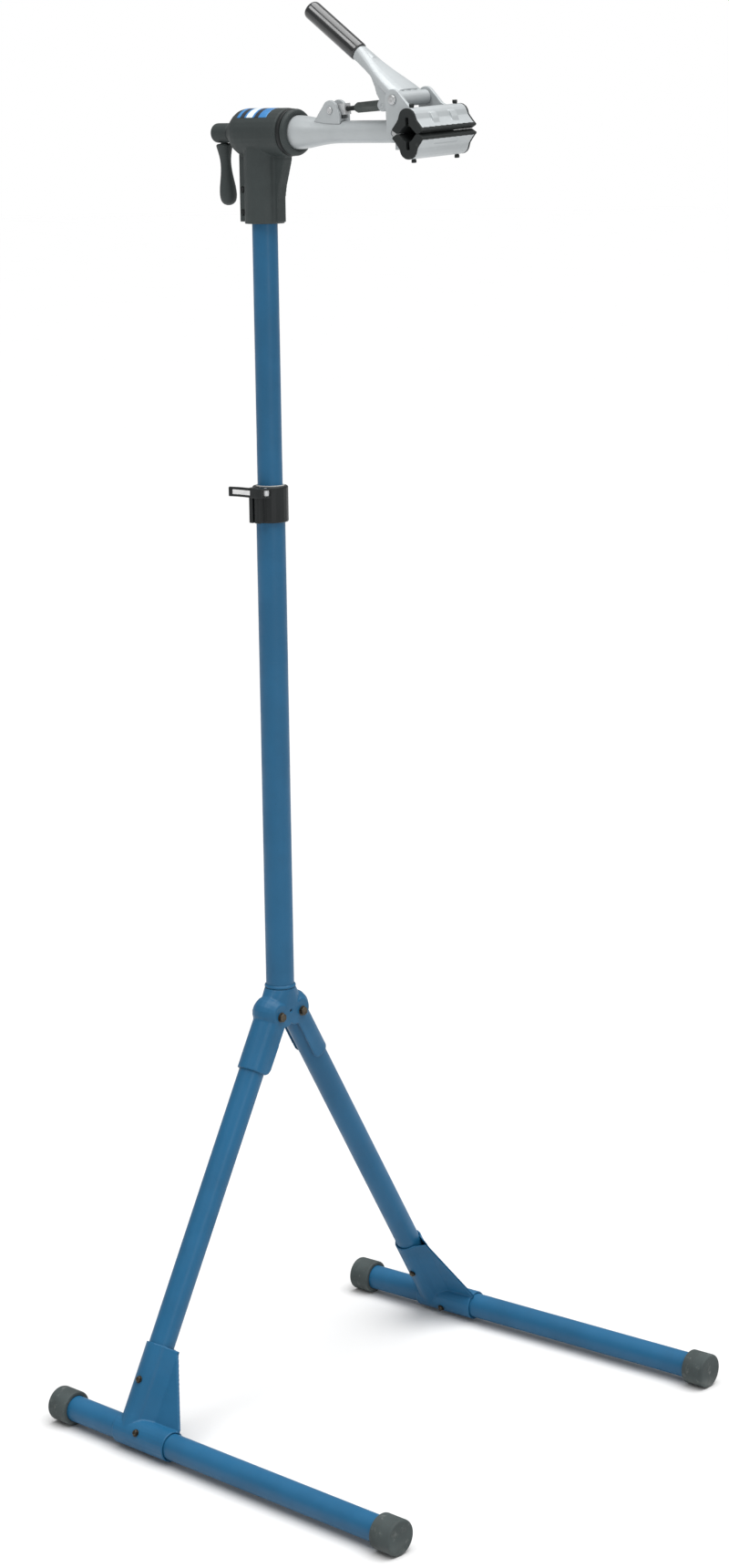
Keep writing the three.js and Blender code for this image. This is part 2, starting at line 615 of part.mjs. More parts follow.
function armPlug() {
  const plug = cutBy(rod(JOURNAL_R - 2.5, -14, -3, 24), rod(5.3, -20, 5, 16));
  return node('arm_plug', alongX(plug), STEEL);
}

function arc(cx, cz, radius, fromDeg, toDeg, steps) {
  return Array.from({ length: steps + 1 }, (_, i) => {
    const a = (fromDeg + (toDeg - fromDeg) * i / steps) * Math.PI / 180;
    return [cx + radius * Math.cos(a), cz + radius * Math.sin(a)];
  });
}

function armBracket() {
  const side = [
    [84, 4], [84, 11.5], ...arc(LINK_X, LINK_RISE, 10.5, 146, 10, 12), [121.5, 20], [121.5, 4],
  ];
  const ears = joined(plate(side, -9, -5.3), plate(side, 5.3, 9));
  const base = box([88, -9, 8], [121.5, 9, 14.4]);
  const tubeRoom = alongX(turned([
    [0, 0], ...armProfile(GAP).slice(1), [ARM_R + GAP, 150], [0, 150],
  ], 48));
  const pinHole = moved(alongY(rod(3.3, -20, 20, 12)), LINK_X, 0, LINK_RISE);
  return node('arm_bracket', cutBy(joined(ears, base), tubeRoom, pinHole), SILVER);
}

function bracketPin() {
  const pin = joined(
    rod(3, -9.5, 9.5, 16),
    rod(4, 9 + GAP, 10.8, 16),
    rod(4, -10.8, -9 - GAP, 16),
  );
  return node('arm_bracket_pin', moved(alongY(pin), LINK_X, 0, LINK_RISE), STEEL);
}

function jawHingePin() {
  const pin = alongY(rod(4, -EAR_OUT + 0.4, EAR_OUT - 0.4, 16));
  return node('jaw_hinge_pin', moved(pin, HINGE_X, 0, 0), STEEL);
}

// ---------------------------------------------------------------- jaws
// Right-hand half outlines of the upper jaw, seen along the jaws, z up from the middle.
const LIP_OUTLINE = [[15, 0.2], [20.6, 3.4], [21, 4.6], [20.4, 5.8]];
const SHELL_OUTER = [
  [19.8, 6.2], [17.9, 8.2], [13.9, 12.8], [12.1, 15], [11.3, 17.5],
  [10.2, 20.6], [8, 23.6], [4.6, 25.7], [1.6, 26.4],
];
const SHELL_INNER = [
  [17.2, 6.2], [16.2, 7.2], [12, 11.8], [10, 14], [9.1, 17], [8, 19.8], [6.3, 22], [3.8, 23.5], [1.5, 24],
];
const HOLLOW = [[11.8, -1], [11.8, 0.2], [5.6, 6.4], [2.2, 8.4], [2.2, 16.8]];
const PIP_Y = 35.8;

function bothSides(points) {
  return [...points, ...points.map(([x, z]) => [-x, z]).reverse()];
}

// The pressed shell of one jaw; the upper one is stiffened by ribs across its waist.
function jawShellBody(ribbed) {
  const halfLength = JAW_LENGTH / 2 - 2.5;
  const shell = plate(bothSides(SHELL_OUTER), -halfLength, halfLength);
  const seat = plate(bothSides(SHELL_INNER), -halfLength - 5, halfLength + 5);
  const under = box([-17.2, -halfLength - 5, 5], [17.2, halfLength + 5, 6.6]);
  const rib = bothSides([[16.4, 9.9], [15.1, 14.6], [11.9, 20.4], [9.8, 21.2]]);
  const ribs = [-20, 12].map((y) => plate(rib, y, y + 10));
  const panel = plate([[18.1, 9.6], [15.3, 12.8], [13.9, 11.6], [16.7, 8.4]], -19, 19);
  const pipHoles = [-PIP_Y, PIP_Y].map((y) => moved(rod(2.5, 10, 40, 16), 0, y, 0));
  const body = ribbed ? joined(shell, ...ribs) : cutBy(shell, panel);
  return cutBy(body, seat, under, ...pipHoles);
}

// The rubber cover inside a shell, with a lip along each edge and a plate over each end.
function jawCoverBody() {
  const half = JAW_LENGTH / 2;
  const liner = SHELL_INNER.map(([x, z]) => [x - GAP, z > 20 ? z - GAP : z]);
  const body = plate(bothSides([...LIP_OUTLINE, [17.1, 5.8], ...liner]), -half + 0.2, half - 0.2);
  const endPlate = (y) => plate(bothSides([...LIP_OUTLINE, ...SHELL_OUTER]), y, y + 2.2);
  const hollow = plate(bothSides(HOLLOW), -half - 5, half + 5);
  const pip = () => joined(rod(2.1, 20, 27.6, 16), rod(2.7, 27.2, 30.3, 16));
  const pips = [-PIP_Y, PIP_Y].map((y) => moved(pip(), 0, y, 0));
  return cutBy(joined(body, endPlate(-half), endPlate(half - 2.2), ...pips), hollow);
}

// Space for the cover's rear lip where a jaw's ears or cradle pass it.
function lipRoom() {
  return box([-21 - GAP, -60, 0.2 - GAP], [0, 60, 6.4]);
}

function upperJaw() {
  const hingeX = HINGE_X - JAW_X;
  const ear = [
    ...arc(hingeX, 0, 10.2, 320, 180, 12),
    [hingeX - 10.2, LEVER_PIVOT_RISE - 4],
    ...arc(hingeX, LEVER_PIVOT_RISE, 11, 180, 50, 12),
    [-10, 28], [-5.4, 26], [-5, 20], [-14, 8], [-19.6, 6.8],
  ];
  const room = plate(bothSides(SHELL_INNER), -60, 60);
  const ears = cutBy(joined(plate(ear, -EAR_OUT, -EAR_IN), plate(ear, EAR_IN, EAR_OUT)), room, lipRoom());
  const holes = [0, LEVER_PIVOT_RISE].map((z) => moved(alongY(rod(4.3, -60, 60, 16)), hingeX, 0, z));
  return node('upper_jaw', cutBy(joined(jawShellBody(true), ears), ...holes), SILVER);
}

function upperJawCover() {
  return node('upper_jaw_cover', jawCoverBody(), JAW_RUBBER);
}

function lowerJaw() {
  const shell = mirrorOf(jawShellBody(false), [0, 0, 1]);
  const hingeX = HINGE_X - JAW_X;
  const cradle = box([hingeX - 5, -22, -18], [-14, 22, -5]);
  const hingeRoom = moved(alongY(rod(10.6 + GAP, -60, 60)), hingeX, 0, 0);
  const earRoom = joined(
    moved(alongY(rod(10.5 + GAP, -60, -EAR_IN + GAP)), hingeX, 0, 0),
    moved(alongY(rod(10.5 + GAP, EAR_IN - GAP, 60)), hingeX, 0, 0),
  );
  const armRoom = alongX(rod(ARM_R + GAP, -150, hingeX - 5 + 1));
  const seat = mirrorOf(plate(bothSides(SHELL_INNER), -60, 60), [0, 0, 1]);
  const body = joined(shell, cutBy(cradle, hingeRoom, armRoom, seat, mirrorOf(lipRoom(), [0, 0, 1])));
  return node('lower_jaw', cutBy(body, earRoom), SILVER);
}

function lowerJawCover() {
  return node('lower_jaw_cover', mirrorOf(jawCoverBody(), [0, 0, 1]), JAW_RUBBER);
}

// ---------------------------------------------------------------- adjusting link
function linkBlock() {
  const outline = [...arc(0, 0, 6, 90, 270, 10), [18.5, -6], [18.5, 6]];
  const pinHole = alongY(rod(3.3, -10, 10, 12));
  const rodHole = alongX(rod(2.9, 0, 30, 12));
  return node('link_block', cutBy(plate(outline, -4.9, 4.9), pinHole, rodHole), STEEL);
}

function adjusterRod() {
  const shank = alongX(rod(2.6, 4.4, LINK_LENGTH - 3, 12));
  const eye = moved(alongY(rod(5.6, -5, 5, 16)), LINK_LENGTH, 0, 0);
  const hole = moved(alongY(rod(3.3, -10, 10, 12)), LINK_LENGTH, 0, 0);
  return node('adjuster_rod', cutBy(joined(shank, eye), hole), BLACK_METAL);
}

function adjusterBarrel() {
  const taper = turned([[0, 30], [3.6, 30], [6.4, 35.5], [6.6, 66], [0, 66]], 6);
  return node('adjuster_barrel', alongX(cutBy(taper, rod(2.9, 20, 80, 12))), ADJUSTER);
}

function linkPin() {
  return node('link_pin', moved(alongY(rod(3, -9.6, 9.6, 16)), LINK_LENGTH, 0, 0), STEEL);
}

// ---------------------------------------------------------------- clamp lever
// Drawn round its pivot with the grip along +X and its upper side towards +Z.
function clampLever() {
  // [distance from the pivot, half thickness, half width, middle height]
  const sections = [
    [GRIP_START - GAP, 8.4, 8.8, 0], [74, 7.9, 10.6, 0], [60, 7, 13.6, -0.2],
    [44, 6.5, 17.8, -0.2], [30, 7, 21.4, -0.1], [16, 7.7, 24.1, 0], [6, 8, 24.9, 0],
  ];
  const ring = ([along, thick, wide, middle]) => Array.from({ length: 20 }, (_, k) => {
    const a = k / 10 * Math.PI;
    const squarer = (v) => Math.sign(v) * Math.abs(v) ** 0.75;
    return new THREE.Vector3(along, wide * squarer(Math.cos(a)), middle + thick * squarer(Math.sin(a)));
  });
  const spans = sections.slice(1).map((section, i) => toSolid(
    new ConvexGeometry([...ring(sections[i]), ...ring(section)]),
  ));
  const pivotBarrel = alongY(rod(8, -24.9, 24.9));
  const fan = joined(...spans, pivotBarrel);
  const core = alongX(rod(8, GRIP_START - 20, GRIP_START + GRIP_LENGTH - 6, 20));
  const cheekSide = [
    [50, -4], [44, -7.2], [38, -10.8], [32, -15.4],
    ...arc(LINK_U, LINK_V, 6.8, 20, -160, 10),
    [8, -10], [4, -4], [30, -3],
  ];
  const cheeks = joined(plate(cheekSide, -14.2, -10), plate(cheekSide, 10, 14.2));
  const pivotHole = alongY(rod(4.3, -40, 40, 16));
  const dimples = joined(...[-20, 13.2].map((from) => moved(
    alongY(rod(2.6, from, from + 6.8, 16)), LINK_U, 0, LINK_V,
  )));
  return node('clamp_lever', cutBy(joined(fan, core, cheeks), pivotHole, dimples), SILVER);
}

function leverGrip() {
  const end = GRIP_START + GRIP_LENGTH;
  const sleeve = turned([
    [8 + GAP, GRIP_START], [GRIP_R - 0.6, GRIP_START], [GRIP_R, GRIP_START + 1.4],
    [GRIP_R, end - 4], [GRIP_R - 1.2, end - 1.4], [GRIP_R - 4, end],
    [0, end], [0, end - 5.4], [8 + GAP, end - 5.4], [8 + GAP, GRIP_START],
  ], 20);
  return node('lever_grip', alongX(sleeve), GRIP_BLACK);
}

function leverPivotPin() {
  const pin = joined(
    rod(4, -EAR_OUT - 1, EAR_OUT + 1, 16),
    rod(5.2, EAR_OUT + GAP, EAR_OUT + 2.6, 16),
    rod(5.2, -EAR_OUT - 2.6, -EAR_OUT - GAP, 16),
  );
  return node('lever_pivot_pin', alongY(pin), STEEL);
}

// ---------------------------------------------------------------- assembly
function linkGroup() {
  const made = groupOf('adjusting_link', linkBlock(), adjusterRod(), adjusterBarrel(), linkPin());
  made.position.set(LINK_X, 0, LINK_RISE);
  made.rotation.y = -LINK_TILT;
  return made;
}

function leverGroup() {
  const made = groupOf('lever', clampLever(), leverGrip(), leverPivotPin());
  made.position.set(HINGE_X, 0, LEVER_PIVOT_RISE);
  // Half a turn about X keeps the upper side of the lever uppermost after it is tilted back.
  made.rotation.set(Math.PI, -LEVER_TILT, 0, 'YXZ');
  return made;
}

function clampGroup() {
  const jaws = groupOf('jaws', upperJaw(), upperJawCover(), lowerJaw(), lowerJawCover());
  jaws.position.x = JAW_X;
  const made = groupOf(
    'clamp',
    clampArm(),
    armFlangeRing(),
    armPlug(),
    armBracket(),
    bracketPin(),
    jawHingePin(),
    jaws,
    linkGroup(),
    leverGroup(),
  );
  made.rotation.x = CLAMP_TURN / DEG;
  return made;
}

function headGroup() {
  const lockHandle = groupOf('lock_handle', lockHandleHub(), lockHandleGrip());
  lockHandle.rotation.x = LOCK_TURN / DEG;
  const made = groupOf(
    'head',
    headCasting(),
    ...HEAD_BOLTS.map((z, i) => headBolt(`head_clamp_bolt_${i + 1}`, z)),
    armBushing(),
    drawBolt(),
    lockHandle,
    clampGroup(),
  );
  made.position.z = ARM_Z;
  return made;
}

const group = groupOf(
  'bike_repair_stand',
  lowerMast(),
  mastBushing(),
  mastFootRing(),
  hubBracket(),
  legPivotBolt('left_leg_pivot_bolt', -1),
  legPivotBolt('right_leg_pivot_bolt', 1),
  legPivotNut('left_leg_pivot_nut', -1),
  legPivotNut('right_leg_pivot_nut', 1),
  mastCollar(),
  collarBolt(),
  collarNut(),
  collarLever(),
  collarLeverPin(),
  leg('left', -1),
  leg('right', 1),
  upperMast(),
  headGroup(),
);

// The feet reach further forward than back, so the mast stands behind the middle.
group.position.x = -(FOOT_X + (FOOT_FRONT - FOOT_REAR) / 2 * Math.cos(FOOT_SPLAY));

export default group;
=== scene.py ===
"""Looks of the bike repair stand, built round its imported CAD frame. Metres, floor at z = 0."""
import json
import math

import bmesh
import bpy
import numpy as np
from mathutils import Matrix, Vector

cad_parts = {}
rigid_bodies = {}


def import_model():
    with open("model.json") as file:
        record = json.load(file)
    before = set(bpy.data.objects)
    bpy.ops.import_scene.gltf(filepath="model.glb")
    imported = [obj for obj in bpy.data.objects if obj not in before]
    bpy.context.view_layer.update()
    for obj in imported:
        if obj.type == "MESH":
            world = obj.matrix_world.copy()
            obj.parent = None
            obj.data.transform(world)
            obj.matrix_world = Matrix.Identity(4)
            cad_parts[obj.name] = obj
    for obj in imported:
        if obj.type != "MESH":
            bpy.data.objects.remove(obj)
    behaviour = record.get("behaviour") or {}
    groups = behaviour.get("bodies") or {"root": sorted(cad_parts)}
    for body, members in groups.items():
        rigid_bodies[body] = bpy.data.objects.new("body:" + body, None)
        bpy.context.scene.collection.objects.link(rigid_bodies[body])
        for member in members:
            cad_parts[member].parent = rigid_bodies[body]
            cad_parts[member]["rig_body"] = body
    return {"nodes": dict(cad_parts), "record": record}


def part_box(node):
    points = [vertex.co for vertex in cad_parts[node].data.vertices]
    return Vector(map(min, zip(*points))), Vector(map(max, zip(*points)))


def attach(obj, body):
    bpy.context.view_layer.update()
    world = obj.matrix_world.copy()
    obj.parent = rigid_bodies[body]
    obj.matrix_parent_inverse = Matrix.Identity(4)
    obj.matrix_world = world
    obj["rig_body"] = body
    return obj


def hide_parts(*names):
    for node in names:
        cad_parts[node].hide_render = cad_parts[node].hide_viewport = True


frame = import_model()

for spare in ("Cube", "Light", "Camera"):
    if spare in bpy.data.objects:
        bpy.data.objects.remove(bpy.data.objects[spare])
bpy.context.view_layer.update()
SCENE = bpy.context.scene
MM = 0.001
BODY_OF = {n: body for body, nodes in frame["record"]["behaviour"]["bodies"].items() for n in nodes}

# ---------------------------------------------------------------- places and sizes, from the frame
mast_low, mast_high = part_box("lower_mast_tube")
upper_low, upper_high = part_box("upper_mast_tube")
bushing_low, bushing_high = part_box("arm_bushing")
MAST_X = (mast_low.x + mast_high.x) / 2
ARM_Z = (bushing_low.z + bushing_high.z) / 2
CLAMP_TURN = math.radians(3.1)
LOCK_TURN = math.radians(5)
LEVER_TILT = math.radians(144.4)
LINK_TILT = math.radians(3.53)
LINK_X, LINK_RISE, LINK_LENGTH = 108.0, 23.5, 79.65
PIVOT_Y, PIVOT_Z = 18.3, 454.0
FOOT_X, FOOT_Y, FOOT_Z = 7.6, 270.3, 20.2
FOOT_SPLAY = math.radians(1.98)
FOOT_REAR, FOOT_FRONT = 124.5, 412.5
LOWER_R, LOWER_BORE = 16.5, 14.7
UPPER_R, UPPER_BORE = 14.3, 12.7
LEG_R, LEG_BORE = 15.0, 13.4
FOOT_INSET = 4.3            # the foot tube ends this far inside its caps' faces
BRACKET_FACE = 17.9         # seat of the bracket bolts, from the leg's middle plane
LEG_BOLT_UP, FOOT_BOLT_ALONG = 57, 21
CAP_R, CAP_LENGTH = 20.2, 28.6
ARM_R, JOURNAL_R = 12.0, 18.3
HINGE_X, PIVOT_RISE = 215.0, 34.5
HANDLE_X = -60.4
HEAD_BOLT_X, HEAD_BOLTS = -27.6, (-62, -87)


def at(x, y, z):
    """A point given in millimetres from the mast's foot on the floor."""
    return Vector((MAST_X + x * MM, y * MM, z * MM))


def basis(origin, along, up):
    """Frame whose Z runs along one direction and whose X is near another."""
    z = Vector(along).normalized()
    y = z.cross(Vector(up)).normalized()
    x = y.cross(z)
    turn = Matrix((x, y, z)).transposed().to_4x4()
    return Matrix.Translation(origin) @ turn


def shift(x, y, z):
    return Matrix.Translation(Vector((x, y, z)) * MM)


ALONG_X = basis((0, 0, 0), (1, 0, 0), (0, 0, 1))
ALONG_Y = basis((0, 0, 0), (0, 1, 0), (0, 0, 1))
MAST = Matrix.Translation(at(0, 0, 0))
HEAD = Matrix.Translation(Vector((MAST_X, 0, ARM_Z)))
CLAMP = HEAD @ Matrix.Rotation(CLAMP_TURN, 4, "X")
LOCK = HEAD @ Matrix.Rotation(LOCK_TURN, 4, "X")
LEVER = (CLAMP @ shift(HINGE_X, 0, PIVOT_RISE)
         @ Matrix.Rotation(-LEVER_TILT, 4, "Y") @ Matrix.Rotation(math.pi, 4, "X"))
LINK = CLAMP @ shift(LINK_X, 0, LINK_RISE) @ Matrix.Rotation(-LINK_TILT, 4, "Y")


def foot_frame(side):
    """Foot along X, leg up Z."""
    along = Vector((math.cos(FOOT_SPLAY), side * math.sin(FOOT_SPLAY), 0))
    up = Vector((-FOOT_X, side * (PIVOT_Y - FOOT_Y), PIVOT_Z - FOOT_Z))
    up = (up - along * up.dot(along)).normalized()
    turn = Matrix((along, up.cross(along), up)).transposed().to_4x4()
    return Matrix.Translation(at(FOOT_X, side * FOOT_Y, FOOT_Z)) @ turn


def leg_line(side):
    return at(0, side * PIVOT_Y, PIVOT_Z), at(FOOT_X, side * FOOT_Y, FOOT_Z)


# ---------------------------------------------------------------- materials
class Graph:
    """Short calls that add and wire shader nodes."""

    def __init__(self, name):
        self.material = bpy.data.materials.new(name)
        self.material.use_nodes = True
        self.tree = self.material.node_tree
        self.shader = self.tree.nodes["Principled BSDF"]
        self.point = self.node("ShaderNodeTexCoord").outputs["Object"]

    def node(self, kind, inputs=None, **settings):
        made = self.tree.nodes.new(kind)
        for key, value in settings.items():
            setattr(made, key, value)
        for key, value in (inputs or {}).items():
            self.feed(made.inputs[key], value)
        return made

    def feed(self, socket, value):
        if isinstance(value, bpy.types.NodeSocket):
            self.tree.links.new(value, socket)
        else:
            socket.default_value = value

    def noise(self, scale, detail=3.0, rough=0.55, stretch=None):
        where = self.point
        if stretch:
            where = self.node("ShaderNodeMapping", {"Vector": where, "Scale": stretch}).outputs[0]
        made = self.node("ShaderNodeTexNoise", {
            "Vector": where, "Scale": scale, "Detail": detail, "Roughness": rough})
        return made.outputs["Fac"]

    def ramp(self, value, low, high, out_low=0.0, out_high=1.0):
        made = self.node("ShaderNodeMapRange", {
            "Value": value, "From Min": low, "From Max": high,
            "To Min": out_low, "To Max": out_high})
        made.interpolation_type = "SMOOTHSTEP"
        return made.outputs[0]

    def math(self, kind, a, b):
        return self.node("ShaderNodeMath", {0: a, 1: b}, operation=kind).outputs[0]

    def mix(self, share, a, b):
        made = self.node("ShaderNodeMix", data_type="RGBA")
        self.feed(made.inputs["Factor"], share)
        self.feed(made.inputs["A"], a)
        self.feed(made.inputs["B"], b)
        return made.outputs["Result"]

    def edges(self, low, high):
        """Bright where the mesh is sharply convex, broken up so that wear isn't even."""
        pointed = self.node("ShaderNodeNewGeometry").outputs["Pointiness"]
        rubbed = self.ramp(self.noise(70, 4, 0.6), 0.38, 0.62)
        return self.math("MULTIPLY", self.ramp(pointed, low, high), rubbed)

    def bump(self, layers):
        """Bump nodes chained one into the next: (height, strength, distance) each."""
        normal = None
        for height, strength, distance in layers:
            made = self.node("ShaderNodeBump", {"Strength": strength, "Distance": distance})
            self.feed(made.inputs["Height"], height)
            if normal is not None:
                self.feed(made.inputs["Normal"], normal)
            normal = made.outputs["Normal"]
        self.feed(self.shader.inputs["Normal"], normal)

    def set(self, **values):
        names = {"metallic": "Metallic", "specular": "Specular IOR Level", "coat": "Coat Weight",
                 "coat_rough": "Coat Roughness"}
        for key, value in values.items():
            self.shader.inputs[names[key]].default_value = value


def grey(value, tint=(1, 1, 1)):
    return (value * tint[0], value * tint[1], value * tint[2], 1)


def tone(colour, factor):
    return (*[min(1.0, c * factor) for c in colour[:3]], 1)


def painted(name, colour, worn, rough, *, metallic=0.0, specular=0.35, coat=0.0, spread=0.12,
            grain=1400, grain_depth=0.00006, peel=260, peel_depth=0.00012,
            wear=(0.53, 0.62), wear_share=0.5, specks=0.0):
    """Paint with blotches, fine grain, orange peel, scuffs and edges rubbed to another colour."""
    g = Graph(name)
    blotches = g.noise(11, 5, 0.6)
    fine = g.noise(grain, 2, 0.5)
    peeled = g.noise(peel, 2, 0.4)
    base = g.mix(g.ramp(blotches, 0.36, 0.64), tone(colour, 1 - spread), tone(colour, 1 + spread))
    base = g.mix(g.ramp(fine, 0.5, 0.78, 0, 0.35), base, tone(colour, 1 + 2.2 * spread))
    scuffs = g.ramp(g.noise(34, 6, 0.7, (1, 1, 9)), 0.62, 0.74)
    base = g.mix(g.math("MULTIPLY", scuffs, 0.16), base, worn)
    if specks:
        dots = g.node("ShaderNodeTexVoronoi", {"Vector": g.point, "Scale": 190.0})
        near = g.ramp(dots.outputs["Distance"], 0.05, 0.12, 1, 0)
        rare = g.ramp(g.noise(48, 2, 0.5), 0.6, 0.64)
        dotted = g.math("MULTIPLY", g.math("MULTIPLY", near, rare), specks)
        base = g.mix(dotted, base, tone(colour, 0.25))
    edge = g.edges(*wear)
    base = g.mix(g.math("MULTIPLY", edge, wear_share), base, worn)
    g.feed(g.shader.inputs["Base Color"], base)
    sheen = g.math("ADD", g.ramp(g.noise(26, 6, 0.65), 0.3, 0.7, rough - 0.07, rough + 0.08),
                   g.math("MULTIPLY", scuffs, 0.1))
    g.feed(g.shader.inputs["Roughness"], sheen)
    g.bump([(peeled, 0.35, peel_depth), (fine, 0.5, grain_depth)])
    g.set(metallic=metallic, specular=specular, coat=coat, coat_rough=0.15)
    return g.material


def rubbery(name, colour, dusty, rough, dust_below=None):
    """Moulded rubber with a fine pebbled skin and, near the floor, a little dust."""
    g = Graph(name)
    fine = g.noise(1700, 3, 0.6)
    base = g.mix(g.ramp(g.noise(30, 5, 0.6), 0.35, 0.65), tone(colour, 0.84), tone(colour, 1.16))
    base = g.mix(g.ramp(fine, 0.52, 0.75, 0, 0.4), base, tone(colour, 1.45))
    scraped = g.math("MULTIPLY", g.ramp(g.noise(90, 6, 0.7), 0.56, 0.7), 0.35)
    base = g.mix(scraped, base, dusty)
    if dust_below:
        height = g.node("ShaderNodeSeparateXYZ", {0: g.point}).outputs["Z"]
        settled = g.math("MULTIPLY", g.ramp(height, 0.0, dust_below, 1, 0),
                         g.ramp(g.noise(55, 5, 0.6), 0.35, 0.7))
        base = g.mix(g.math("MULTIPLY", settled, 0.5), base, dusty)
    base = g.mix(g.math("MULTIPLY", g.edges(0.53, 0.62), 0.35), base, dusty)
    g.feed(g.shader.inputs["Base Color"], base)
    g.feed(g.shader.inputs["Roughness"], g.ramp(g.noise(60, 4, 0.6), 0.3, 0.7, rough - 0.08, rough + 0.07))
    g.bump([(g.noise(420, 3, 0.5), 0.3, 0.00015), (fine, 0.5, 0.00008)])
    g.set(specular=0.3)
    return g.material


def plated(name, colour, dull, rough, stretch=(1, 1, 1), metallic=0.85):
    """Plated or bare steel with tarnish, fine turning marks and rubbed edges."""
    g = Graph(name)
    tarnish = g.ramp(g.noise(120, 6, 0.65), 0.4, 0.66)
    base = g.mix(tarnish, colour, dull)
    base = g.mix(g.math("MULTIPLY", g.edges(0.53, 0.6), 0.6), base, tone(colour, 1.5))
    g.feed(g.shader.inputs["Base Color"], base)
    marks = g.noise(900, 3, 0.5, stretch)
    g.feed(g.shader.inputs["Roughness"], g.ramp(g.noise(240, 4, 0.6), 0.3, 0.7, rough - 0.08, rough + 0.12))
    g.bump([(marks, 0.3, 0.00004)])
    g.set(metallic=metallic, specular=0.5)
    return g.material


MATERIALS = {
    "blue_paint": painted("blue_paint", (0.010, 0.092, 0.192), (0.06, 0.16, 0.26, 1), 0.46, specular=0.28,
                          coat=0.05, spread=0.07, specks=0.5, wear_share=0.45),
    "casting_paint": painted("casting_paint", (0.028, 0.036, 0.036), (0.10, 0.115, 0.115, 1), 0.56,
                             specular=0.35, spread=0.14, grain=1100, grain_depth=0.00014, wear_share=0.4),
    "silver_paint": painted("silver_paint", (0.385, 0.41, 0.42), (0.6, 0.62, 0.63, 1), 0.4, metallic=0.15,
                            specular=0.5, spread=0.05, grain=1500, grain_depth=0.00007, wear_share=0.5),
    "black_metal": painted("black_metal", (0.009, 0.011, 0.0115), (0.06, 0.065, 0.065, 1), 0.42, metallic=0.1,
                           specular=0.3, spread=0.15, wear_share=0.5),
    "grip": painted("grip", (0.008, 0.009, 0.010), (0.05, 0.052, 0.055, 1), 0.24, specular=0.55, coat=0.5,
                    spread=0.2, peel=180, peel_depth=0.0002, grain_depth=0.00002, wear_share=0.3),
    "foot_rubber": rubbery("foot_rubber", (0.045, 0.057, 0.057), (0.2, 0.21, 0.2, 1), 0.72, dust_below=0.02),
    "jaw_rubber": rubbery("jaw_rubber", (0.014, 0.017, 0.017), (0.07, 0.075, 0.072, 1), 0.66),
    "zinc": plated("zinc", (0.085, 0.072, 0.052, 1), (0.03, 0.025, 0.02, 1), 0.36),
    "steel": plated("steel", (0.52, 0.53, 0.54, 1), (0.4, 0.41, 0.41, 1), 0.36, metallic=0.7),
    "adjuster_paint": painted("adjuster_paint", (0.045, 0.055, 0.052), (0.2, 0.2, 0.19, 1), 0.42,
                              metallic=0.4, specular=0.5, spread=0.15, wear_share=0.6),
    "bushing_plastic": rubbery("bushing_plastic", (0.42, 0.43, 0.42), (0.34, 0.33, 0.31, 1), 0.5),
}


def white_print():
    g = Graph("white_print")
    g.feed(g.shader.inputs["Base Color"], g.mix(
        g.ramp(g.noise(160, 6, 0.7), 0.5, 0.72, 0, 0.4), grey(0.66), grey(0.42)))
    g.feed(g.shader.inputs["Roughness"], g.ramp(g.noise(60), 0.3, 0.7, 0.35, 0.5))
    return g.material


def label_print():
    """Blue film with one pale and two dark bands across it."""
    g = Graph("label_print")
    across = g.node("ShaderNodeSeparateXYZ", {0: g.point}).outputs["X"]
    field = g.mix(g.ramp(g.noise(120, 6, 0.7), 0.45, 0.7, 0, 0.4),
                  (0.03, 0.17, 0.42, 1), (0.06, 0.26, 0.5, 1))

    def band(start, end):
        """One band, between two distances along the barrel in millimetres."""
        return g.math("MULTIPLY",
                      g.ramp(across, MAST_X + (start - 0.3) * MM, MAST_X + start * MM),
                      g.ramp(across, MAST_X + (end + 0.3) * MM, MAST_X + end * MM))

    field = g.mix(band(-6, 3), field, (0.62, 0.68, 0.72, 1))
    dark = g.math("ADD", band(-15, -9), band(6, 12))
    field = g.mix(dark, field, (0.015, 0.02, 0.03, 1))
    g.feed(g.shader.inputs["Base Color"], field)
    g.feed(g.shader.inputs["Roughness"], g.ramp(g.noise(60), 0.3, 0.7, 0.28, 0.42))
    return g.material


MATERIALS["white_print"] = white_print()
MATERIALS["label_print"] = label_print()


# ---------------------------------------------------------------- mesh making
def finish(name, mesh, finish_name, *nodes, body=None, weighted=True):
    """Makes the piece, gives it its material and body, and hides the CAD nodes it stands for."""
    piece = bpy.data.objects.new(name, mesh)
    SCENE.collection.objects.link(piece)
    mesh.materials.clear()
    mesh.materials.append(MATERIALS[finish_name])
    for face in mesh.polygons:
        face.use_smooth = True
    if weighted:
        piece.modifiers.new("even_normals", "WEIGHTED_NORMAL").weight = 80
    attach(piece, body or BODY_OF[nodes[0]])
    if nodes:
        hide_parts(*nodes)
    return piece


def soften(profile, radius, closed):
    """The profile with each corner turned into a short arc, so that no edge is razor sharp."""
    points = [Vector(p) for p in profile]
    count = len(points)
    result = []
    for i, here in enumerate(points):
        if not closed and i in (0, count - 1):
            result.append(here)
            continue
        before, after = points[i - 1], points[(i + 1) % count]
        into, out = before - here, after - here
        if into.length < 1e-9 or out.length < 1e-9:
            continue
        bend = math.pi - into.angle(out)
        if bend < math.radians(18) or (here.x == 0):
            result.append(here)
            continue
        reach = min(radius, into.length * 0.45, out.length * 0.45)
        start, end = here + into.normalized() * reach, here + out.normalized() * reach
        for k in range(5):
            t = k / 4
            result.append(start * (1 - t) ** 2 + here * 2 * t * (1 - t) + end * t ** 2)
    return result


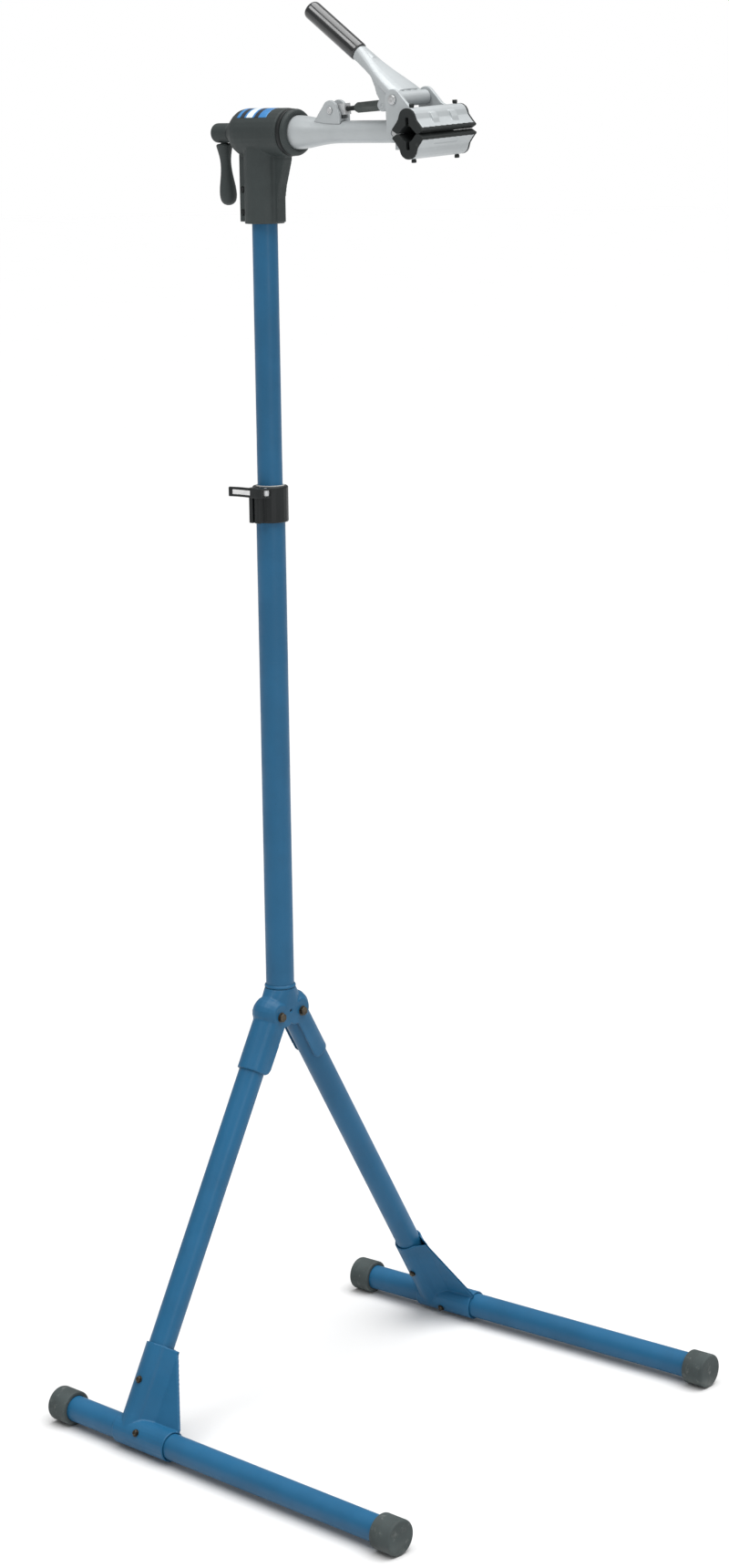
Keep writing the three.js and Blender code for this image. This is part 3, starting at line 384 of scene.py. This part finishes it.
def lathe(profile, place, *, closed=False, edge=0.5, sides=72):
    """A turned body round Z of place; profile is (radius, height) in millimetres."""
    outline = soften(profile, edge, closed)
    bm = bmesh.new()
    rings = []
    for radius, height in [(p.x, p.y) for p in outline]:
        if radius < 1e-6:
            rings.append([bm.verts.new(place @ (Vector((0, 0, height)) * MM))])
            continue
        rings.append([bm.verts.new(place @ (Vector((
            radius * math.cos(k / sides * 2 * math.pi), radius * math.sin(k / sides * 2 * math.pi), height)) * MM))
            for k in range(sides)])
    pairs = list(zip(rings, rings[1:])) + ([(rings[-1], rings[0])] if closed else [])
    for a, b in pairs:
        for k in range(sides):
            n = (k + 1) % sides
            if len(a) == 1 and len(b) > 1:
                bm.faces.new((a[0], b[n], b[k]))
            elif len(b) == 1 and len(a) > 1:
                bm.faces.new((a[k], a[n], b[0]))
            elif len(a) > 1 and len(b) > 1:
                bm.faces.new((a[k], a[n], b[n], b[k]))
    bmesh.ops.recalc_face_normals(bm, faces=bm.faces)
    mesh = bpy.data.meshes.new("turned")
    bm.to_mesh(mesh)
    bm.free()
    return mesh


def combined(*meshes):
    """One mesh holding all of the meshes."""
    bm = bmesh.new()
    for mesh in meshes:
        bm.from_mesh(mesh)
    whole = bpy.data.meshes.new("combined")
    bm.to_mesh(whole)
    bm.free()
    return whole


def prism(place, radius, low, high, chamfer=0.5, corners=6, turn=0.0):
    """A hexagon head or nut with its corners turned off, as a real one has."""
    tip = radius - chamfer * 1.6
    rings = [(tip, low), (radius, low + chamfer), (radius, high - chamfer), (tip, high)]
    bm = bmesh.new()
    made = []
    for r, h in rings:
        made.append([bm.verts.new(place @ (Vector((
            r * math.cos(turn + k / corners * 2 * math.pi), r * math.sin(turn + k / corners * 2 * math.pi), h)) * MM))
            for k in range(corners)])
    for a, b in zip(made, made[1:]):
        for k in range(corners):
            n = (k + 1) % corners
            bm.faces.new((a[k], a[n], b[n], b[k]))
    bm.faces.new(made[0])
    bm.faces.new(made[-1])
    bmesh.ops.recalc_face_normals(bm, faces=bm.faces)
    bmesh.ops.bevel(bm, geom=[e for e in bm.edges], offset=0.22 * MM, segments=2, affect="EDGES", profile=0.6)
    mesh = bpy.data.meshes.new("prism")
    bm.to_mesh(mesh)
    bm.free()
    return mesh


def applied(mesh, add_modifiers):
    """The mesh after the modifiers that add_modifiers puts on a throwaway object."""
    holder = bpy.data.objects.new("holder", mesh)
    SCENE.collection.objects.link(holder)
    add_modifiers(holder)
    graph = bpy.context.evaluated_depsgraph_get()
    result = bpy.data.meshes.new_from_object(holder.evaluated_get(graph))
    bpy.data.objects.remove(holder)
    return result


def welded(mesh):
    """The mesh with the points that the frame file split joined again."""
    bm = bmesh.new()
    bm.from_mesh(mesh)
    bmesh.ops.remove_doubles(bm, verts=bm.verts, dist=2e-6)
    clean = bpy.data.meshes.new("welded")
    bm.to_mesh(clean)
    bm.free()
    return clean


def relax(mesh, rounds, inward=0.63, outward=-0.67):
    """Smooths away facets without shrinking: each round moves points in, then back out."""
    count = len(mesh.vertices)
    points = np.empty(count * 3)
    mesh.vertices.foreach_get("co", points)
    points = points.reshape(-1, 3)
    edges = np.empty(len(mesh.edges) * 2, np.int64)
    mesh.edges.foreach_get("vertices", edges)
    edges = edges.reshape(-1, 2)
    own = np.concatenate([edges[:, 0], edges[:, 1]])
    other = np.concatenate([edges[:, 1], edges[:, 0]])
    order = np.argsort(own, kind="stable")
    own, other = own[order], other[order]
    starts = np.searchsorted(own, np.arange(count))
    degree = np.bincount(own, minlength=count)[:, None]
    for _ in range(rounds):
        for step in (inward, outward):
            mean = np.add.reduceat(points[other], starts, axis=0) / degree
            points += step * (mean - points)
    mesh.vertices.foreach_set("co", points.astype(np.float32).ravel())
    mesh.update()


def moulded(mesh, voxel, rounds, keep):
    """The mesh with soft edges and fillets and no facets."""
    def remesh(o):
        step = o.modifiers.new("voxels", "REMESH")
        step.mode, step.voxel_size, step.adaptivity = "VOXEL", voxel * MM, 0.0

    def thin(o):
        o.modifiers.new("thin", "DECIMATE").ratio = keep

    mesh = applied(mesh, remesh)
    relax(mesh, rounds)
    return applied(mesh, thin)


def cast(node, finish_name, voxel, rounds, keep=0.4):
    """A cast, moulded or pressed piece, smoothed from its CAD shape."""
    mesh = moulded(welded(frame["nodes"][node].data), voxel, rounds, keep)
    return finish(f"{node}_shaped", mesh, finish_name, node, weighted=False)


def machined(node, finish_name, width=0.35):
    """A machined piece: the CAD shape with its flat faces whole and its edges broken."""
    bm = bmesh.new()
    bm.from_mesh(frame["nodes"][node].data)
    bmesh.ops.remove_doubles(bm, verts=bm.verts, dist=2e-6)
    bmesh.ops.dissolve_limit(bm, angle_limit=math.radians(0.8), verts=bm.verts, edges=bm.edges)
    mesh = bpy.data.meshes.new("machined")
    bm.to_mesh(mesh)
    bm.free()

    def bevel(o):
        step = o.modifiers.new("edges", "BEVEL")
        step.width, step.segments, step.limit_method = width * MM, 2, "ANGLE"
        step.angle_limit = math.radians(31)
    return finish(f"{node}_edged", applied(mesh, bevel), finish_name, node)


def label(name, piece, starts, direction, finish_name):
    """A thin printed film laid on a piece: a grid of points dropped onto its surface."""
    bpy.context.view_layer.update()
    bm = bmesh.new()
    grid = []
    for row in starts:
        line = []
        for start, way in row:
            hit, spot, normal, _ = piece.ray_cast(start, way)
            line.append(bm.verts.new(spot + normal * 0.12 * MM))
        grid.append(line)
    for a, b in zip(grid, grid[1:]):
        for k in range(len(a) - 1):
            bm.faces.new((a[k], a[k + 1], b[k + 1], b[k]))
    bmesh.ops.recalc_face_normals(bm, faces=bm.faces)
    mesh = bpy.data.meshes.new(name)
    bm.to_mesh(mesh)
    bm.free()
    if mesh.polygons[0].normal.dot(direction) < 0:
        mesh.flip_normals()
    film = finish(name, mesh, finish_name, body=piece["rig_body"], weighted=False)
    film.modifiers.new("film", "SOLIDIFY").thickness = 0.16 * MM
    return film


# ---------------------------------------------------------------- mast
low, high = mast_low.z / MM, mast_high.z / MM
finish("lower_mast_turned", lathe([
    (LOWER_BORE, low), (LOWER_R, low), (LOWER_R, high), (LOWER_BORE, high)], MAST, closed=True),
       "blue_paint", "lower_mast_tube")
low, high = upper_low.z / MM, upper_high.z / MM
finish("upper_mast_turned", lathe([
    (UPPER_BORE, low), (UPPER_R, low), (UPPER_R, high), (UPPER_BORE, high)], MAST, closed=True),
       "blue_paint", "upper_mast_tube")
ring_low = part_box("mast_foot_ring")[0].z / MM
finish("mast_foot_weld", lathe([
    (16.8, ring_low), (17.9, ring_low), (18.4, ring_low + 0.9), (18.3, ring_low + 2.2), (17.6, ring_low + 3.3),
    (16.8, ring_low + 3.9)], MAST, closed=True), "blue_paint", "mast_foot_ring")
cast("mast_bushing", "bushing_plastic", 0.4, 6, 0.5)

# ---------------------------------------------------------------- hub, legs and feet
cast("hub_bracket", "blue_paint", 0.85, 26, 0.4)
for name, side in (("left", -1), ("right", 1)):
    top, foot = leg_line(side)
    leg = basis(top, top - foot, (1, 0, 0))
    length = (top - foot).length / MM
    leg_end = 13.6 - length - 2.4 + 6
    finish(f"{name}_leg_turned", lathe([
        (LEG_BORE, leg_end), (LEG_R, leg_end), (LEG_R, 4.4), (14.2, 7.4), (12.6, 9.6),
        (11.2, 9.8), (LEG_BORE, 4)], leg, closed=True), "blue_paint", f"{name}_leg_tube")
    place = foot_frame(side)
    along = place @ ALONG_X
    finish(f"{name}_foot_turned", lathe([
        (LEG_BORE, -FOOT_REAR + FOOT_INSET), (LEG_R, -FOOT_REAR + FOOT_INSET),
        (LEG_R, FOOT_FRONT - FOOT_INSET), (LEG_BORE, FOOT_FRONT - FOOT_INSET)],
        along, closed=True), "blue_paint", f"{name}_foot_tube")
    for end, face, way in (("front", FOOT_FRONT, -1), ("rear", -FOOT_REAR, 1)):
        cup = [(0, 0.25), (CAP_R - 5, 0), (CAP_R - 2.2, 0), (CAP_R - 0.6, 0.7), (CAP_R, 2.4),
               (CAP_R, CAP_LENGTH - 1.2), (CAP_R - 1.2, CAP_LENGTH),
               (LEG_R + 0.25, CAP_LENGTH), (LEG_R + 0.25, 4), (0, 4)]
        finish(f"{name}_{end}_cap_moulded", lathe([(r, face + way * z) for r, z in cup], along, edge=0.9),
               "foot_rubber", f"{name}_{end}_foot_cap")
    for half in ("near", "far"):
        cast(f"{name}_foot_bracket_{half}_half", "blue_paint", 0.8, 22, 0.35)
    lean = (place.to_3x3().inverted() @ (top - foot)).normalized()
    rake = Matrix.Rotation(math.atan2(lean.x, lean.z), 4, "Y")
    for node, centre in (("leg_bracket_bolt", rake @ shift(0, 0, LEG_BOLT_UP)),
                         ("foot_bracket_bolt", shift(FOOT_BOLT_ALONG, 0, 0))):
        axis = place @ centre @ ALONG_Y
        parts = []
        for way in (-1, 1):
            face = BRACKET_FACE * way
            washer = [(0, face), (4.3, face), (4.3, face + way * 0.6), (0, face + way * 0.6)]
            parts.append(lathe(washer, axis, edge=0.2, sides=48))
            parts.append(prism(axis, 3.6, *sorted((face + way * 0.5, face + way * 2.6))))
        shank = [(0, -21.4), (2.2, -21.4), (2.5, -21), (2.5, 18), (0, 18)]
        parts.append(lathe(shank, axis, edge=0.2, sides=32))
        finish(f"{name}_{node}_made", combined(*parts), "zinc", f"{name}_{node}")
    axis = Matrix.Translation(top) @ ALONG_X
    face = LEG_R + 0.3 + 2.3 + 0.3       # clearance, the hub's sheet, clearance
    finish(f"{name}_leg_pivot_bolt_made", combined(
        lathe([(0, -face - 7.6), (3.2, -face - 7.6), (4, -face - 6.8), (4, face + 1),
               (0, face + 1)], axis, edge=0.3, sides=48),
        lathe([(0, face), (5.9, face), (5.9, face + 0.7), (0, face + 0.7)],
              axis, edge=0.3, sides=48),
        prism(axis, 5.3, face + 0.5, face + 4.2)), "zinc", f"{name}_leg_pivot_bolt")
    finish(f"{name}_leg_pivot_nut_made", combined(
        prism(axis, 6.6, -face - 6, -face - 0.6),
        lathe([(0, -face - 0.8), (6.9, -face - 0.8), (6.9, -face), (0, -face)],
              axis, edge=0.3, sides=48)),
        "zinc", f"{name}_leg_pivot_nut")

# ---------------------------------------------------------------- quick-release collar
cast("mast_collar", "black_metal", 0.45, 8, 0.45)
collar_lever = cast("collar_lever", "black_metal", 0.4, 8, 0.5)
lever_low, lever_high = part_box("collar_lever")
strip_z = (lever_low.z + lever_high.z) / 2
label("collar_lever_strip", collar_lever, [[
    (Vector((MAST_X + x * MM, lever_low.y - 0.02, strip_z + z * MM)), Vector((0, 1, 0)))
    for x in np.linspace(-26, 0, 26)] for z in np.linspace(-2.6, 2.6, 5)], Vector((0, -1, 0)), "white_print")
for node in ("collar_bolt", "collar_nut", "collar_lever_pin"):
    machined(node, "steel", 0.25)

# ---------------------------------------------------------------- head
casting = cast("head_casting", "casting_paint", 0.8, 18, 0.35)
label("head_label", casting, [[
    (HEAD @ (Vector((x, 60 * math.sin(a), 60 * math.cos(a))) * MM), Vector((0, -math.sin(a), -math.cos(a))))
    for x in np.linspace(-20, 24, 24)] for a in np.linspace(math.radians(-52), math.radians(24), 27)],
    Vector((0, 0, 1)), "label_print")
barrel = HEAD @ ALONG_X
finish("arm_bushing_turned", lathe([
    (18.6, -20), (20, -20), (20, 41.3), (24.8, 41.3), (25.8, 42.3), (25.8, 45), (24.8, 46), (18.6, 46)],
    barrel, closed=True, edge=0.5), "black_metal", "arm_bushing")
for k, z in enumerate(HEAD_BOLTS):
    axis = HEAD @ shift(HEAD_BOLT_X, 0, z) @ ALONG_Y
    finish(f"head_clamp_bolt_{k + 1}_made", combined(
        lathe([(0, 3.7), (3, 3.7), (3, 6.2), (2.4, 6.7), (1.5, 6.7), (1.3, 5.4), (0, 5.2)],
              axis, edge=0.2, sides=40),
        prism(axis, 3, -6.7, -3.7, chamfer=0.35),
        lathe([(0, -4.7), (2, -4.7), (2, 4.7), (0, 4.7)], axis, edge=0.2, sides=32)),
        "black_metal", f"head_clamp_bolt_{k + 1}")
lock = LOCK @ ALONG_X
finish("lock_handle_hub_turned", lathe([
    (0, -72), (7.6, -72), (9.6, -71.2), (10.6, -69.4), (10.8, -67), (10.8, -48.2), (10, -46.8), (5.3, -46.8), (5.3, -66),
    (0, -66)], lock, edge=0.6), "casting_paint", "lock_handle_hub")
finish("lock_handle_grip_turned", lathe([
    (0, -80), (2.6, -79.8), (5, -78.8), (7, -77.2), (8.4, -75), (9.2, -72.2), (9.6, -68.6), (9.5, -64.6), (9.1, -60),
    (8.4, -55.4), (7.6, -50.6), (6.9, -46), (6.4, -41.6), (6.1, -37.4), (6.05, -33), (6.3, -28.8), (6.9, -24.8),
    (7.7, -20.8), (8.7, -16.6), (9.3, -13.4), (8.2, -12), (4, -11.4), (4, -7), (0, -7)],
    LOCK @ shift(HANDLE_X, 0, 0), edge=0.5), "casting_paint", "lock_handle_grip")
finish("draw_bolt_turned", lathe([(0, -65.5), (5, -65.5), (5, -1), (0, -1)], barrel, edge=0.4), "steel", "draw_bolt",
       body=BODY_OF["draw_bolt"])

# ---------------------------------------------------------------- clamp arm
arm = CLAMP @ ALONG_X
outside = [(JOURNAL_R, -16), (JOURNAL_R, 54), (18.2, 58), (17.8, 63), (17.1, 69), (16.2, 75),
           (15.2, 81), (14.3, 87), (13.5, 93), (12.9, 99), (12.4, 105), (12.1, 111), (ARM_R, 118)]
body = lathe([(0, -16), *outside, (ARM_R, 210), (0, 210)], arm, edge=0.8, sides=96)
hinge = CLAMP @ shift(HINGE_X, 0, 0) @ ALONG_Y
knuckle = lathe([(0, -25), (10.6, -25), (10.6, 25), (0, 25)], hinge, edge=1.2, sides=96)
arm_mesh = moulded(combined(body, knuckle), voxel=0.8, rounds=14, keep=0.35)
finish("clamp_arm_shaped", arm_mesh, "silver_paint", "clamp_arm", "arm_plug", weighted=False)
finish("arm_flange_ring_turned", lathe([
    (18.6, 46.4), (24.4, 46.4), (25.4, 47.4), (25.4, 50.2), (24.7, 51.8), (23.4, 52.9), (21.4, 53.6), (19.4, 53.2),
    (18.6, 52.2)], arm, closed=True, edge=0.5), "casting_paint", "arm_flange_ring")
cast("arm_bracket", "silver_paint", 0.5, 8, 0.4)
link_pivot = CLAMP @ shift(LINK_X, 0, LINK_RISE) @ ALONG_Y
finish("arm_bracket_pin_made", combined(
    lathe([(0, -9.5), (3, -9.5), (3, 9.5), (0, 9.5)], link_pivot, edge=0.2, sides=48),
    *[lathe([(0, way * 9.3), (4, way * 9.3), (4, way * 10.1), (3.2, way * 10.7),
             (1.6, way * 10.8), (0, way * 10.4)], link_pivot, edge=0.25, sides=48)
      for way in (-1, 1)]), "steel", "arm_bracket_pin")
finish("jaw_hinge_pin_turned", lathe([
    (0, -28.6), (2.6, -28.9), (3.4, -28.8), (4, -28), (4, 28), (3.4, 28.8), (2.6, 28.9),
    (0, 28.6)], hinge, edge=0.3, sides=48), "steel", "jaw_hinge_pin")

# ---------------------------------------------------------------- jaws
for jaw in ("upper", "lower"):
    cast(f"{jaw}_jaw", "silver_paint", 0.5, 9, 0.32)
    cast(f"{jaw}_jaw_cover", "jaw_rubber", 0.48, 6, 0.3)

# ---------------------------------------------------------------- adjusting link
machined("link_block", "steel", 0.5)
link = LINK @ ALONG_X
thread = [(2.6 - 0.32 * (k % 2), start + 0.5 * k)
          for start, count in ((18.5, 25), (66, 17)) for k in range(count)]
eye = LINK @ shift(LINK_LENGTH, 0, 0) @ ALONG_Y
finish("adjuster_rod_made", combined(
    lathe([(0, 4.4), (2.5, 4.4), (2.5, 18), *thread, (2.6, 75), (0, 75)], link, edge=0.05, sides=48),
    lathe([(3.3, -5), (5.6, -5), (5.6, 5), (3.3, 5)], eye, closed=True, edge=0.6, sides=56)),
       "black_metal", "adjuster_rod")
finish("link_pin_turned", lathe([
    (0, -9.6), (2.6, -9.6), (3, -9.2), (3, 9.2), (2.6, 9.6), (0, 9.6)], eye, edge=0.2, sides=48),
       "steel", "link_pin")
machined("adjuster_barrel", "adjuster_paint", 0.6)

# ---------------------------------------------------------------- clamp lever
cast("clamp_lever", "silver_paint", 0.6, 16, 0.35)
grip = LEVER @ ALONG_X
finish("lever_grip_moulded", lathe([
    (8.3, 84), (9.4, 84), (10.1, 84.6), (10.4, 86), (10.4, 161.4), (10.1, 163.4), (9.2, 165), (7.6, 165.8), (5, 166),
    (0, 166), (0, 160.6), (8.3, 160.6)], grip, edge=0.8), "grip", "lever_grip")
pivot = LEVER @ ALONG_Y
finish("lever_pivot_pin_made", combined(
    lathe([(0, -30), (4, -30), (4, 30), (0, 30)], pivot, edge=0.2, sides=48),
    *[lathe([(0, way * 29.7), (5.2, way * 29.7), (5.2, way * 30.8), (4.4, way * 31.7),
             (2.2, way * 31.9), (0, way * 31.3)], pivot, edge=0.3, sides=48)
      for way in (-1, 1)]), "steel", "lever_pivot_pin")

# ---------------------------------------------------------------- floor, light and camera
bm = bmesh.new()
bmesh.ops.create_circle(bm, cap_ends=True, radius=45.0, segments=96)
floor_mesh = bpy.data.meshes.new("floor")
bm.to_mesh(floor_mesh)
bm.free()
floor = bpy.data.objects.new("floor", floor_mesh)
SCENE.collection.objects.link(floor)
g = Graph("floor_paint")
g.feed(g.shader.inputs["Base Color"], g.mix(g.noise(3, 3), grey(0.66), grey(0.68)))
g.feed(g.shader.inputs["Roughness"], g.ramp(g.noise(9, 4), 0.3, 0.7, 0.7, 0.8))
g.set(specular=0.2)
floor_mesh.materials.append(g.material)

world = bpy.data.worlds.new("studio")
SCENE.world = world
world.use_nodes = True
tree = world.node_tree
sky = tree.nodes["Background"]
sky.inputs["Color"].default_value = (1, 1, 1, 1)
sky.inputs["Strength"].default_value = 0.40
seen = tree.nodes.new("ShaderNodeBackground")
seen.inputs["Color"].default_value = (1, 1, 1, 1)
seen.inputs["Strength"].default_value = 1.0
ray = tree.nodes.new("ShaderNodeLightPath")
choose = tree.nodes.new("ShaderNodeMixShader")
tree.links.new(ray.outputs["Is Camera Ray"], choose.inputs["Fac"])
tree.links.new(sky.outputs[0], choose.inputs[1])
tree.links.new(seen.outputs[0], choose.inputs[2])
tree.links.new(choose.outputs[0], tree.nodes["World Output"].inputs["Surface"])


def softbox(name, place, target, size, energy):
    lamp = bpy.data.lights.new(name, "AREA")
    lamp.shape, lamp.size, lamp.energy = "DISK", size, energy
    holder = bpy.data.objects.new(name, lamp)
    holder.location = place
    holder.rotation_euler = (Vector(target) - Vector(place)).to_track_quat("-Z", "Y").to_euler()
    SCENE.collection.objects.link(holder)


softbox("key", (-0.4, -2.2, 3.6), (0, 0, 1.0), 1.4, 34)
softbox("front_fill", (3.2, -1.4, 1.6), (0, 0, 1.1), 1.2, 16)
overhead = bpy.data.lights.new("overhead", "SUN")
overhead.energy, overhead.angle = 3.7, math.radians(60)
above = bpy.data.objects.new("overhead", overhead)
above.rotation_euler = Vector((-0.22, -0.10, -1)).to_track_quat("-Z", "Y").to_euler()
SCENE.collection.objects.link(above)

AZIMUTH, PITCH, ROLL = math.radians(41.05), math.radians(12.23), math.radians(-0.80)
right = Vector((math.cos(AZIMUTH), math.sin(AZIMUTH), 0))
look = Vector((-math.sin(AZIMUTH) * math.cos(PITCH), math.cos(AZIMUTH) * math.cos(PITCH), -math.sin(PITCH)))
up = right.cross(look)
tilted_right = right * math.cos(ROLL) + up * math.sin(ROLL)
tilted_up = up * math.cos(ROLL) - right * math.sin(ROLL)
lens = bpy.data.cameras.new("camera")
lens.sensor_width, lens.lens = 36, 71.05
camera = bpy.data.objects.new("camera", lens)
SCENE.collection.objects.link(camera)
turn = Matrix((tilted_right, tilted_up, -look)).transposed().to_4x4()
camera.matrix_world = Matrix.Translation(Vector((2.37748 + MAST_X, -2.57436, 1.48553))) @ turn
SCENE.camera = camera
SCENE.view_settings.view_transform = "Standard"
